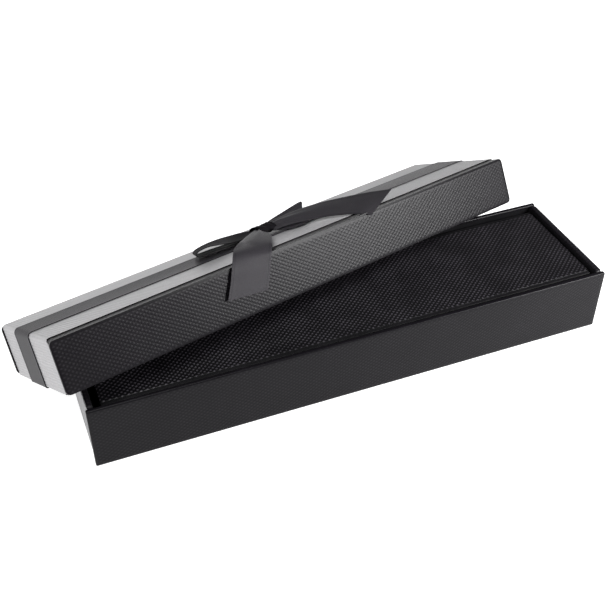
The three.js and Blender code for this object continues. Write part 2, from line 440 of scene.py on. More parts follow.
@dataclass
class Finishes:
    """Every material of the box, made once."""

    embossed: bpy.types.Material = field(init=False)
    base_paper: bpy.types.Material = field(init=False)
    pressed: bpy.types.Material = field(init=False)
    insert: bpy.types.Material = field(init=False)
    lining: bpy.types.Material = field(init=False)
    silver: bpy.types.Material = field(init=False)
    base_silver: bpy.types.Material = field(init=False)
    ribbon: bpy.types.Material = field(init=False)
    loop: bpy.types.Material = field(init=False)
    tail: bpy.types.Material = field(init=False)
    foam: bpy.types.Material = field(init=False)

    def __post_init__(self) -> None:
        """Make the materials."""
        self.embossed = BlackPaper("black_paper", grid=DiamondGrid()).material()
        # A darker copy of the black paper for the tray's boards: painted shade, as the tray's
        # boards are darker than the lid's by how the light falls.
        self.base_paper = BlackPaper(
            "base_black_paper",
            tint=(0.0029, 0.0025, 0.0035),
            tint_mottle_and_highlight=(0.0098, 0.0089, 0.0110),
            grid=DiamondGrid(),
            specular=0.10,
        ).material()
        self.pressed = BlackPaper(
            "black_paper_pressed", grid=DiamondGrid(), pressed=True
        ).material()
        # The insert's diamond tops are painted far lighter than its grooves: a painted highlight
        # that draws the lit crosshatch of crests.
        self.insert = BlackPaper(
            "insert_paper",
            tint=(0.0011, 0.0009, 0.0014),
            tint_mottle_and_highlight=(0.0420, 0.0388, 0.0456),
            roughness=0.33,
            grid=INSERT_GRID,
            specular=0.4,
        ).material()
        self.lining = BlackPaper(
            "lining_paper",
            tint=(0.0030, 0.0030, 0.0034),
            tint_mottle_and_highlight=(0.0055, 0.0053, 0.0060),
            roughness=0.5,
            grain_m=0.00002,
        ).material()
        self.silver = SilverCard("silver_card").material()
        # A darker copy of the silver card for the tray's ends: painted shade, as the upright ends
        # are darker than the lid's tilted ends by how the light falls.
        self.base_silver = SilverCard(
            "base_silver_card",
            tint=(0.16, 0.158, 0.166),
            tint_light=(0.20, 0.198, 0.206),
            rib_depth_m=0.000015,
            ribs_along_u=False,
        ).material()
        self.ribbon = SatinRibbon("satin_ribbon").material()
        # A darker copy of the satin for the left loop, the knot and its core: painted shade, as
        # these parts look darker by how the light falls.
        self.loop = SatinRibbon(
            "satin_ribbon_painted_shade",
            tint=(0.0060, 0.0055, 0.0068),
            tint_light=(0.0090, 0.0084, 0.0098),
            roughness=0.6,
            specular=0.02,
        ).material()
        self.tail = SatinRibbon(
            "satin_ribbon_shiny",
            tint=(0.0185, 0.0171, 0.0201),
            tint_light=(0.0262, 0.0245, 0.0280),
            roughness=0.5,
            specular=0.11,
        ).material()
        self.foam = BlackFoam("black_foam").material()


# ---------------------------------------------------------------- making pieces


def block(size: Sequence[float], centre: Sequence[float]) -> bmesh.types.BMesh:
    """Make a plain block.

    Args:
        size: Its length, width and height.
        centre: Its centre.

    Returns:
        The shape.
    """
    made = bmesh.new()
    bmesh.ops.create_cube(made, size=1.0)
    bmesh.ops.scale(made, vec=size, verts=made.verts)
    bmesh.ops.translate(made, vec=centre, verts=made.verts)
    return made


def dress(node: str, material: bpy.types.Material) -> None:
    """Give a frame part that stays in view a better material."""
    worn = bpy.data.objects[node].data.materials
    worn.clear()
    worn.append(material)


@dataclass
class Workshop:
    """Turns millimetre shapes into finished pieces in the box's frame."""

    frame: Matrix
    body: Body

    def flat_uv(self, shape: bmesh.types.BMesh) -> None:
        """Lay a millimetre UV map on each face from the side that it faces most.

        Args:
            shape: The shape, in its own frame.
        """
        layer = shape.loops.layers.uv.new(UV_NAME)
        shape.normal_update()
        for face in shape.faces:
            away = [abs(part) for part in face.normal]
            dropped = away.index(max(away))
            first, second = [axis for axis in range(3) if axis != dropped]
            for corner in face.loops:
                place = corner.vert.co
                corner[layer].uv = (place[first], place[second])

    def finish(
        self,
        shape: bmesh.types.BMesh,
        name: str,
        material: bpy.types.Material,
        slot: Slot,
        replaced: Iterable[str] = (),
    ) -> bpy.types.Object:
        """Turn a shape into a piece, in place, on its body.

        Args:
            shape: The shape, in millimetres, in the workshop's own frame.
            name: The piece's name.
            material: Its material.
            slot: Not used.
            replaced: The CAD nodes that it stands for.

        Returns:
            The finished object.
        """
        if UV_NAME not in shape.loops.layers.uv:
            self.flat_uv(shape)
        shape.transform(self.frame @ Matrix.Scale(MM, 4))
        mesh = bpy.data.meshes.new(name)
        shape.to_mesh(mesh)
        shape.free()
        mesh.materials.append(material)
        mesh.shade_smooth()
        mesh.set_sharp_from_angle(angle=SMOOTH_ANGLE)
        piece = bpy.data.objects.new(name, mesh)
        bpy.context.scene.collection.objects.link(piece)
        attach(piece, self.body.value)
        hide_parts(*replaced)
        log.info("%s: %d faces on %s", name, len(mesh.polygons), self.body.value)
        return piece

    def wrap(self, shape: bmesh.types.BMesh, node: str, paper: bpy.types.Material) -> None:
        """Finish a paper-covered board in place of the plain one.

        Args:
            shape: The shape.
            node: The plain board's node.
            paper: The paper's material.
        """
        self.finish(shape, node.replace("board", "wrap"), paper, Slot.BLACK_PAPER, [node])


def beveled(
    shape: bmesh.types.BMesh, edges: list[bmesh.types.BMEdge], radius: float, steps: int
) -> None:
    """Round some edges.

    Args:
        shape: The shape.
        edges: The edges to round.
        radius: Their radius.
        steps: The segments in each round.
    """
    bmesh.ops.bevel(
        shape,
        geom=edges,
        offset=radius,
        offset_type="OFFSET",
        segments=steps,
        profile=0.5,
        affect="EDGES",
        material=-1,
        clamp_overlap=True,
    )


@dataclass(frozen=True)
class Board:
    """A flat board with rounded corners in its outline and softened edges.

    Its length runs along X, its thickness along Y and its height along Z. It stands on z = 0,
    centred on x = 0, with its outer face at y = 0 and its thickness behind it.
    """

    length: float
    height: float
    thickness: float
    top_corner: float
    bottom_corner: float
    edge: float
    outer_top_edge: float | None = None

    def shape(self) -> bmesh.types.BMesh:
        """Make the board.

        Returns:
            The shape.
        """
        made = block(
            (self.length, self.thickness, self.height), (0, self.thickness / 2, self.height / 2)
        )
        for radius, wanted in ((self.top_corner, self.height), (self.bottom_corner, 0.0)):
            corners = [
                edge
                for edge in made.edges
                if all(abs(vert.co.z - wanted) < 1e-4 for vert in edge.verts)
                and abs(edge.verts[0].co.y - edge.verts[1].co.y) > self.thickness / 2
            ]
            beveled(made, corners, radius, 5)
        if self.outer_top_edge is not None:
            top = [
                edge
                for edge in made.edges
                if all(vert.co.y < 1e-4 and vert.co.z > self.height - 1e-4 for vert in edge.verts)
            ]
            beveled(made, top, self.outer_top_edge, 6)
        rims = [
            edge
            for edge in made.edges
            if abs(edge.verts[0].co.y - edge.verts[1].co.y) < 1e-4
            and len(edge.link_faces) == 2
            and edge.calc_face_angle(0.0) > FOLD_ANGLE
        ]
        beveled(made, rims, self.edge, 3)
        return made


@dataclass(frozen=True)
class PressedSheet:
    """The pressed part of a paper, which lies just proud of the board under it.

    It is centred on the origin with its face up. Its rim is sunk into the board, or rounded down.
    """

    length: float
    width: float
    grid: DiamondGrid
    step_along: float
    step_across: float
    fade: float = 0.9
    sunk: float = 0.03
    depth: float = 0.25
    rounding: float = 0.0

    def shape(self, lift: Callable[[float, float], float] | None = None) -> bmesh.types.BMesh:
        """Make the sheet.

        Args:
            lift: An extra height at a place, if the sheet isn't flat.

        Returns:
            The shape, closed underneath.
        """
        made = bmesh.new()
        bmesh.ops.create_grid(
            made,
            x_segments=round(self.length / self.step_along),
            y_segments=round(self.width / self.step_across),
            size=0.5,
        )
        bmesh.ops.scale(made, vec=(self.length, self.width, 1), verts=made.verts)
        layer = made.loops.layers.uv.new(UV_NAME)
        for face in made.faces:
            for corner in face.loops:
                corner[layer].uv = corner.vert.co.xy
        for vert in made.verts:
            place = vert.co
            inside = min(self.length / 2 - abs(place.x), self.width / 2 - abs(place.y))
            share = min(1.0, max(0.0, inside / self.fade))
            height = share * self.grid.relief(place.x, place.y)
            if self.rounding > 0:
                short = max(0.0, self.rounding - inside)
                rim = math.sqrt(max(0.0, self.rounding**2 - short**2)) - self.rounding
            else:
                rim = -self.sunk if inside < self.step_across * 0.5 else self.sunk * share
            place.z = height + rim + (lift(place.x, place.y) if lift else 0.0)
        rim_edges = [edge for edge in made.edges if edge.is_boundary]
        skirt = bmesh.ops.extrude_edge_only(made, edges=rim_edges)["geom"]
        lowered = [item for item in skirt if isinstance(item, bmesh.types.BMVert)]
        bmesh.ops.translate(made, vec=(0, 0, -self.depth), verts=lowered)
        open_edges = [edge for edge in made.edges if edge.is_boundary]
        bmesh.ops.holes_fill(made, edges=open_edges, sides=0)
        bmesh.ops.recalc_face_normals(made, faces=made.faces)
        return made


def joined(*shapes: bmesh.types.BMesh) -> bmesh.types.BMesh:
    """Put several shapes into the first.

    Args:
        *shapes: The shapes; all but the first are freed.

    Returns:
        The first shape, with the others in it.
    """
    whole, *rest = shapes
    for extra in rest:
        carried = bpy.data.meshes.new("carried")
        extra.to_mesh(carried)
        extra.free()
        whole.from_mesh(carried)
        bpy.data.meshes.remove(carried)
    return whole


def moved(shape: bmesh.types.BMesh, matrix: Matrix) -> bmesh.types.BMesh:
    """Move a shape and give it back."""
    shape.transform(matrix)
    return shape


FACE_FRONT = Matrix.Rotation(math.radians(90.0), 4, "X")
TURN_LEFT = Matrix.Rotation(math.radians(-90.0), 4, "Z")
TURN_RIGHT = Matrix.Rotation(math.radians(90.0), 4, "Z")
TURN_BACK = Matrix.Rotation(math.radians(180.0), 4, "Z")


def embossed_board(
    board: Board, margin_top: float, margin: float, grid: DiamondGrid
) -> bmesh.types.BMesh:
    """Make a board with pressed paper on its outer face.

    Args:
        board: The board.
        margin_top: The smooth paper left below its top edge.
        margin: The smooth paper left along its other edges.
        grid: The pressed grid.

    Returns:
        The shape, facing -Y with its outer face at y = 0.
    """
    width = board.height - margin_top - margin
    sheet = PressedSheet(
        board.length - 2 * margin, width, grid, grid.along / 8.0, grid.across / 6.0
    ).shape()
    moved(sheet, Matrix.Translation((0, 0, margin + width / 2)) @ FACE_FRONT)
    groove = (grid.along / 4, 0.0)
    whole = joined(sheet, board.shape())
    layer = whole.loops.layers.uv[UV_NAME]
    for face in whole.faces:
        if all(corner[layer].uv.length_squared == 0 for corner in face.loops):
            for corner in face.loops:
                corner[layer].uv = groove
    return whole


# ---------------------------------------------------------------- the tray


@dataclass
class Tray:
    """The base: two long boards, two ends with silver paper, a floor and a lining."""

    finishes: Finishes
    grid: DiamondGrid = field(default_factory=DiamondGrid)
    edge: float = 0.5
    corner: float = 0.6
    end_corner: float = 1.4
    margin: float = 0.55

    def build(self) -> None:
        """Make the tray's pieces."""
        self.shop = Workshop(Matrix.Identity(4), Body.BASE)
        self._long_boards()
        self._ends()
        dress("base_floor_board", self.finishes.embossed)
        dress("base_lining", self.finishes.lining)

    def _long_boards(self) -> None:
        """Make the front and back boards."""
        for node, turn in (("base_front_board", None), ("base_back_board", TURN_BACK)):
            low, high = (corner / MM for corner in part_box(node))
            board = Board(
                high.x - low.x, high.z - low.z, high.y - low.y, self.corner, self.corner, self.edge
            )
            shape = embossed_board(board, self.margin, self.margin, self.grid)
            if turn is not None:
                moved(shape, turn)
            moved(shape, Matrix.Translation((0, low.y if turn is None else high.y, 0)))
            self.shop.wrap(shape, node, self.finishes.base_paper)

    def _ends(self) -> None:
        """Make the end boards and the silver paper outside them."""
        for side, turn in (("left", TURN_LEFT), ("right", TURN_RIGHT)):
            for kind, material, slot, edge in (
                ("end_board", self.finishes.embossed, Slot.BLACK_PAPER, self.edge),
                ("silver_paper", self.finishes.base_silver, Slot.SILVER_CARD, 0.1),
            ):
                node = f"base_{side}_{kind}"
                low, high = (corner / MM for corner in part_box(node))
                board = Board(
                    high.y - low.y, high.z - low.z, high.x - low.x, self.end_corner, 0.1, edge
                )
                outer = low.x if side == "left" else high.x
                shape = moved(board.shape(), Matrix.Translation((outer, 0, 0)) @ turn)
                self.shop.finish(shape, f"base_{side}_{kind}_made", material, slot, [node])


# ---------------------------------------------------------------- the insert


@dataclass
class Insert:
    """The lift-out pad: foam in a folded cover with a lower ledge along each long side."""

    finishes: Finishes
    ledge_width: float = 2.4
    ledge_inset: float = 1.0
    ledge_drop: float = 0.2
    edge: float = 0.32
    rise_left: float = 0.2
    rise_right: float = 1.2
    dish: float = 0.55
    waviness: float = 0.14
    wavy_above: float = -4.0
    wave_sink: float = 0.04
    slices: int = 48
    ledge_end_gap: float = 0.2
    sheet_depth: float = 1.3
    sheet_fade: float = 1.8
    sheet_rounding: float = 0.55
    step_along: float = 0.36
    step_across: float = 0.26

    def build(self) -> None:
        """Make the insert's pieces."""
        self.shop = Workshop(Matrix.Identity(4), Body.INSERT)
        self.low, self.high = (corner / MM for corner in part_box("insert_cover"))
        self.middle = (self.low + self.high) / 2
        self._cover()
        dress("insert_foam", self.finishes.foam)

    def _sag(self, x: float, y: float) -> float:
        """Give how far the top lies below its rim, as a negative height."""
        half_x = (self.high.x - self.low.x) / 2
        half_y = (self.high.y - self.low.y) / 2 - self.ledge_width
        inward = max(0.0, 1.0 - (x / half_x) ** 6) * max(0.0, 1.0 - (y / half_y) ** 4)
        wander = noise.noise(Vector((x * 0.03, y * 0.08, 2.0)))
        return -self.dish * inward * (0.8 + 0.5 * wander)

    def _cover(self) -> None:
        """Make the folded cover and its pressed top."""
        length = self.high.x - self.low.x
        width = self.high.y - self.low.y
        height = self.high.z - self.low.z
        platform = block(
            (length, width - 2 * self.ledge_width, height - self.sheet_depth),
            (0, 0, -(height + self.sheet_depth) / 2),
        )
        ledge = self.ledge_width - self.ledge_inset
        ledges = [
            block(
                (length - 2 * self.ledge_end_gap, 2 * ledge, height - self.ledge_drop),
                (0, sign * (width / 2 - self.ledge_width), -(height + self.ledge_drop) / 2),
            )
            for sign in (-1, 1)
        ]
        for part in (platform, *ledges):
            for face in part.faces:
                face.material_index = 1
            self._cut_along(part, length)
            folds = [edge for edge in part.edges if edge.calc_face_angle(0.0) > FOLD_ANGLE]
            beveled(part, folds, self.edge, 3)
        sheet = PressedSheet(
            length,
            width - 2 * self.ledge_width,
            INSERT_GRID,
            self.step_along,
            self.step_across,
            depth=self.sheet_depth,
            fade=self.sheet_fade,
            rounding=self.sheet_rounding,
        ).shape(self._sag)
        whole = joined(sheet, platform, *ledges)
        self._waver(whole)
        moved(whole, Matrix.Translation((self.middle.x, self.middle.y, self.high.z)))
        piece = self.shop.finish(
            whole, "insert_cover_folded", self.finishes.insert, Slot.BLACK_PAPER, ["insert_cover"]
        )
        piece.data.materials.append(self.finishes.lining)

    def _cut_along(self, part: bmesh.types.BMesh, length: float) -> None:
        """Cut a block into slices across its length.

        Args:
            part: The block.
            length: Its length.
        """
        for step in range(1, self.slices):
            everything = [*part.verts, *part.edges, *part.faces]
            place = -length / 2 + step * length / self.slices
            bmesh.ops.bisect_plane(
                part, geom=everything, plane_co=(place, 0, 0), plane_no=(1, 0, 0)
            )

    def _waver(self, whole: bmesh.types.BMesh) -> None:
        """Let the cover's folds wander, and its top sit higher at the right."""
        half = (self.high.x - self.low.x) / 2
        for vert in whole.verts:
            place = vert.co
            if place.z > self.wavy_above:
                share = 0.5 + 0.5 * place.x / half
                place.z += self.rise_left + (self.rise_right - self.rise_left) * share
                shift = noise.noise(Vector((place.x * 0.06, place.y * 0.2, place.z * 0.3)))
                place.y += self.waviness * shift * place.y / 20.0
                place.z += 0.6 * self.waviness * shift - self.wave_sink


# ---------------------------------------------------------------- the lid


@dataclass
class LidFrame:
    """The lid's own frame: its origin is the centre of its rim, and its top is up its Z."""

    matrix: Matrix = field(init=False)
    length: float = field(init=False)
    width: float = field(init=False)
    height: float = field(init=False)
    board: float = field(init=False)

    def __post_init__(self) -> None:
        """Read the frame from how the lid's boards lie."""
        front = self._corners("lid_front_board")
        back = self._corners("lid_back_board")
        centre_front = sum(front, Vector()) / len(front)
        centre_back = sum(back, Vector()) / len(back)
        across = (centre_back - centre_front).normalized()
        spread = [(place - centre_front) @ across for place in front]
        self.board = max(spread) - min(spread)
        self.width = (centre_back - centre_front).length + self.board
        along = self._long_axis(front, centre_front, across)
        up = along.cross(across)
        self.length = self._reach(front, centre_front, along)
        self.height = self._reach(front, centre_front, up)
        origin = (centre_front + centre_back) / 2 - up * self.height / 2
        turn = Matrix((along, across, up)).transposed().to_4x4()
        self.matrix = Matrix.Translation(origin * MM) @ turn

    @staticmethod
    def _corners(node: str) -> list[Vector]:
        """Give a node's distinct vertices, in millimetres."""
        verts = bpy.data.objects[node].data.vertices
        rounded = {tuple(round(part / MM, 4) for part in vert.co) for vert in verts}
        return [Vector(place) for place in sorted(rounded)]

    @staticmethod
    def _reach(places: list[Vector], centre: Vector, axis: Vector) -> float:
        """Give how far places spread along an axis."""
        spread = [(place - centre) @ axis for place in places]
        return max(spread) - min(spread)

    @staticmethod
    def _long_axis(places: list[Vector], centre: Vector, across: Vector) -> Vector:
        """Give the board's long axis, towards +X.

        Args:
            places: The board's vertices.
            centre: Their mean.
            across: The board's normal.

        Returns:
            The unit axis.
        """
        flat = [(place - centre) - across * ((place - centre) @ across) for place in places]
        guess = max(flat, key=lambda place: place.x).normalized()
        for _ in range(40):
            total = Vector()
            for place in flat:
                total += place * (place @ guess)
            guess = total.normalized()
        return guess if guess.x > 0 else -guess


@dataclass(frozen=True)
class WrapPath:
    """The line, in X and Z, of a strip over the lid's top, down both ends, and up inside them."""

    half_length: float
    top: float
    bend: float
    bottom: float
    inside_reach: float = 0.0
    inside_half_length: float = 0.0

    def points(self, step: float = 0.31) -> list[tuple[Vector, Vector]]:
        """Walk the line from the left end to the right.

        Args:
            step: The longest stretch between points.

        Returns:
            Each point and its outward normal.
        """
        corners: list[tuple[float, float, float]] = []
        if self.inside_reach > 0:
            corners.append((-self.inside_half_length, self.bottom + self.inside_reach, 0.0))
            corners.append((-self.inside_half_length, self.bottom, 0.5))
        corners.append((-self.half_length, self.bottom, 0.5 if self.inside_reach > 0 else 0.0))
        corners.append((-self.half_length, self.top, self.bend))
        mirrored = [(-x, z, radius) for x, z, radius in reversed(corners)]
        return rounded_line([*corners, *mirrored], step)


def rounded_line(
    corners: Sequence[tuple[float, float, float]], step: float
) -> list[tuple[Vector, Vector]]:
    """Round the corners of a line in X and Z, and cut it into short stretches.

    Args:
        corners: Each corner's x, z and radius.
        step: The longest stretch.

    Returns:
        Each point and its normal, to the left of the way the line runs.
    """
    path: list[tuple[Vector, Vector]] = []
    places = [Vector((x, 0, z)) for x, z, _ in corners]

    def stretch(start: Vector, end: Vector) -> None:
        """Add the points of a straight stretch, without its last."""
        count = max(1, round((end - start).length / step))
        forward = (end - start).normalized()
        left = Vector((-forward.z, 0, forward.x))
        path.extend((start.lerp(end, part / count), left) for part in range(count))

    start = places[0]
    for index in range(1, len(places) - 1):
        here = places[index]
        radius = corners[index][2]
        before = (places[index - 1] - here).normalized()
        after = (places[index + 1] - here).normalized()
        half_turn = before.angle(after) / 2
        away = radius / math.tan(half_turn)
        enter, leave = here + before * away, here + after * away
        middle = here + (before + after).normalized() * (radius / math.sin(half_turn))
        stretch(start, enter)
        count = 8
        side = 1.0 if (Vector((before.z, 0, -before.x)) @ (middle - enter)) < 0 else -1.0
        for part in range(count):
            spoke = (enter - middle).slerp(leave - middle, part / count)
            path.append((middle + spoke * radius, spoke * side))
        start = leave
    stretch(start, places[-1])
    forward = (places[-1] - start).normalized()
    path.append((places[-1], Vector((-forward.z, 0, forward.x))))
    return path


def strip_shape(
    path: Sequence[tuple[Vector, Vector]],
    edges: Callable[[Vector], tuple[float, float]],
    across: int,
    thickness: float,
    relief: Callable[[float, float], float] | None = None,
) -> bmesh.types.BMesh:
    """Lay a strip of sheet along a line in X and Z.

    Args:
        path: The line's points and outward normals, on the strip's inner face.
        edges: The strip's front and back Y at a point.
        across: The faces across the strip.
        thickness: The sheet's thickness.
        relief: An extra outward height for a length along the line and a share across it.

    Returns:
        The shape, with a UV map in millimetres: U along the strip and V across it.
    """
    made = bmesh.new()
    layer = made.loops.layers.uv.new(UV_NAME)
    bmesh.ops.create_grid(made, x_segments=len(path) - 1, y_segments=across, size=0.5)
    lengths = [0.0]
    for (here, _), (there, _) in zip(path, path[1:]):
        lengths.append(lengths[-1] + (there - here).length)
    for vert in made.verts:
        index = round((vert.co.x + 0.5) * (len(path) - 1))
        share = vert.co.y + 0.5
        place, normal = path[index]
        front, back = edges(place)
        lift = thickness + (relief(lengths[index], share) if relief else 0.0)
        vert.co = place + normal * lift + Vector((0, front + (back - front) * share, 0))
        vert.index = index
    for face in made.faces:
        for corner in face.loops:
            corner[layer].uv = (lengths[corner.vert.index], corner.vert.co.y)
    thickened(made, thickness)
    return made


def thickened(sheet: bmesh.types.BMesh, thickness: float) -> None:
    """Give an open sheet a thickness on its inner side.

    Args:
        sheet: The sheet, its faces turned outwards.
        thickness: The thickness.
    """
    sheet.normal_update()
    bmesh.ops.solidify(sheet, geom=list(sheet.faces), thickness=thickness)


@dataclass(frozen=True)
class RibbonStrip:
    """A loose ribbon given by stations, each with the places of its two edges and a curl.

    The curl is how far the middle stands out from the line between the edges.
    """

    stations: Sequence[tuple[tuple[float, float, float], tuple[float, float, float], float]]
    width: float = 16.0
    along: int = 90
    across: int = 22
    thickness: float = 0.22
    cut_skew: float = 0.0
    pleats: float = 0.0
    pleat_count: float = 2.5
    pleat_reach: float = 0.45

    def _at(self, share: float) -> tuple[Vector, Vector, float]:
        """Give the two edges and the curl at a share of the strip, on a smooth curve."""
        count = len(self.stations) - 1
        place = min(share * count, count - 1e-6)
        index = int(place)
        part = place - index
        picked = [self.stations[min(max(index + shift, 0), count)] for shift in (-1, 0, 1, 2)]

        def smooth(values: list[Vector]) -> Vector:
            """Catmull-Rom between the middle two values."""
            a, b, c, d = values
            return 0.5 * (
                2 * b
                + (c - a) * part
                + (2 * a - 5 * b + 4 * c - d) * part**2
                + (3 * b - a - 3 * c + d) * part**3
            )

        left = smooth([Vector(station[0]) for station in picked])
        right = smooth([Vector(station[1]) for station in picked])
        curl = smooth([Vector((station[2], 0, 0)) for station in picked]).x
        return left, right, curl

    def length(self) -> float:
        """Give the length of the ribbon's middle line."""
        total = 0.0
        last: Vector | None = None
        for step in range(201):
            left, right, _ = self._at(step / 200)
            here = (left + right) / 2
            if last is not None:
                total += (here - last).length
            last = here
        return total

    def shape(self) -> bmesh.types.BMesh:
        """Make the ribbon.

        Returns:
            The shape, with a UV map: U across from the middle and V along, in millimetres.
        """
        made = bmesh.new()
        layer = made.loops.layers.uv.new(UV_NAME)
        bmesh.ops.create_grid(made, x_segments=self.across, y_segments=self.along, size=0.5)
        total = self.length()
        spots: dict[bmesh.types.BMVert, tuple[float, float]] = {}
        for vert in made.verts:
            side = math.sin(vert.co.x * math.pi) / 2
            share = vert.co.y + 0.5
            spots[vert] = (side * self.width, share * total)
            reach = share * (1.0 + self.cut_skew * side * share**6)
            left, right, curl = self._at(min(reach, 1.0))
            ahead_left, ahead_right, _ = self._at(min(reach + 0.01, 1.0))
            behind_left, behind_right, _ = self._at(max(reach - 0.01, 0.0))
            forward = (ahead_left + ahead_right) - (behind_left + behind_right)
            normal = (right - left).cross(forward).normalized()
            bulge = curl * (1.0 - (2 * side) ** 2)
            fade = max(0.0, 1.0 - share / self.pleat_reach)
            ripple = self.pleats * fade * math.cos(2 * side * math.pi * self.pleat_count)
            firm = 0.07 if 0.42 < abs(side) else 0.0
            vert.co = left.lerp(right, side + 0.5) + normal * (bulge + ripple + firm)
        for face in made.faces:
            for corner in face.loops:
                corner[layer].uv = spots[corner.vert]
        thickened(made, self.thickness)
        return made


@dataclass
class Lid:
    """The lid's boards, its silver band and its ribbon band."""

    finishes: Finishes
    frame: LidFrame
    grid: DiamondGrid = field(default_factory=DiamondGrid)
    end_setback: float = 0.8
    corner: float = 1.8
    bend: float = 1.3
    margin_top: float = 0.75
    margin: float = 0.4
    top_overlap: float = 0.9
    top_bend: float = 1.05
    paper_gap: float = 0.02
    rib_pitch: float = 1.14
    rib_height: float = 0.03
    rib_step: float = 0.19
    silver_thickness: float = 0.32
    silver_front_top: float = -23.3
    silver_front_end: float = -25.6
    silver_back_top: float = 27.3
    silver_back_end: float = 26.5
    ribbon_thickness: float = 0.3
    ribbon_width: float = 16.0
    ribbon_centre: float = 3.1
    ribbon_gap: float = 0.06
    ribbon_step: float = 0.8
    rim_drop: float = 0.45
    inside_reach: float = 9.0
    firm_edge: float = 0.05

    def build(self) -> None:
        """Make the lid's pieces."""
        self.shop = Workshop(self.frame.matrix, Body.LID)
        self._long_boards()
        self._top_and_ends()
        self._silver_band()
        self._ribbon_band()
        dress("lid_lining", self.finishes.lining)

    def _long_boards(self) -> None:
        """Make the front and back boards, whose paper turns over the lid's long top edges."""
        size = self.frame
        board = Board(size.length, size.height, size.board, self.corner, self.corner, 0.3, 0.7)
        for node, turn in (("lid_front_board", None), ("lid_back_board", TURN_BACK)):
            shape = embossed_board(board, self.margin_top, self.margin, self.grid)
            if turn is not None:
                moved(shape, turn)
            place = -size.width / 2 if turn is None else size.width / 2
            moved(shape, Matrix.Translation((0, place, 0)))
            self.shop.wrap(shape, node, self.finishes.embossed)

    def _top_and_ends(self) -> None:
        """Make the top board and the end boards."""
        size = self.frame
        end_outer = size.length / 2 - self.end_setback
        width = size.width - 2 * size.board + self.top_overlap
        top = block(
            (2 * end_outer, width, size.board),
            (0, 0, size.height - size.board / 2 - self.paper_gap),
        )
        ends = [
            edge
            for edge in top.edges
            if all(vert.co.z > size.height - 0.1 for vert in edge.verts)
            and abs(edge.verts[0].co.x - edge.verts[1].co.x) < 1e-4
        ]
        beveled(top, ends, self.top_bend, 5)
        self.shop.finish(
            top, "lid_top_wrap", self.finishes.pressed, Slot.BLACK_PAPER, ["lid_top_board"]
        )
        board = Board(
            width, size.height - size.board + 0.1, size.board, 0.05, self.corner, 0.3
        )
        for side, turn, sign in (("left", TURN_LEFT, -1), ("right", TURN_RIGHT, 1)):
            shape = moved(board.shape(), Matrix.Translation((sign * end_outer, 0, 0)) @ turn)
            self.shop.wrap(shape, f"lid_{side}_end_board", self.finishes.pressed)

    def _silver_edges(self, place: Vector) -> tuple[float, float]:
        """Give the silver band's front and back edges at a place on its line."""
        below = max(0.0, min(1.0, (self.frame.height - 0.4 - place.z) / 1.2))
        front = self.silver_front_top + (self.silver_front_end - self.silver_front_top) * below
        back = self.silver_back_top + (self.silver_back_end - self.silver_back_top) * below
        return front, back

    def _silver_band(self) -> None:
        """Make the silver card over the top and both ends."""
        size = self.frame
        path = WrapPath(
            size.length / 2 - self.end_setback + self.paper_gap,
            size.height + self.paper_gap,
            self.bend,
            0.05,
        ).points(self.rib_step)

        def ribs(along: float, share: float) -> float:
            """Give the height of the card's fine ribs."""
            return self.rib_height * math.cos(2 * math.pi * along / self.rib_pitch)

        band = strip_shape(path, self._silver_edges, 6, self.silver_thickness, ribs)
        piece = self.shop.finish(
            band,
            "lid_silver_band_card",
            self.finishes.silver,
            Slot.SILVER_CARD,
            ["lid_silver_band"],
        )
        # The card's cut edges, front and back, get the black lining paper: painted shade, standing
        # in for the dark shadow line along the raised card's edges.
        across = self.frame.matrix.col[1].xyz
        piece.data.materials.append(self.finishes.lining)
        for face in piece.data.polygons:
            if abs(face.normal @ across) > 0.8:
                face.material_index = 1

    def _ribbon_band(self) -> None:
        """Make the ribbon over the top and ends, round the rim and up inside each end."""
        size = self.frame
        lift = self.silver_thickness + self.ribbon_gap
        half = size.length / 2 - self.end_setback + lift
        path = WrapPath(
            half,
            size.height + lift,
            self.bend + lift,
            -self.rim_drop,
            inside_reach=self.inside_reach,
            inside_half_length=size.length / 2 - self.end_setback - size.board - 0.1,
        ).points(self.ribbon_step)
        low = self.ribbon_centre - self.ribbon_width / 2
        high = self.ribbon_centre + self.ribbon_width / 2

        def firm_edges(along: float, share: float) -> float:
            """Give the height of the ribbon's firm woven edges."""
            return self.firm_edge if share < 0.04 or share > 0.96 else 0.0

        band = strip_shape(path, lambda _: (low, high), 30, self.ribbon_thickness, firm_edges)
        layer = band.loops.layers.uv[UV_NAME]
        for face in band.faces:
            for corner in face.loops:
                along, place = corner[layer].uv
                corner[layer].uv = (place - self.ribbon_centre, along)
        piece = self.shop.finish(
            band, "lid_ribbon_band_satin", self.finishes.ribbon, Slot.RIBBON, ["lid_ribbon_band"]
        )


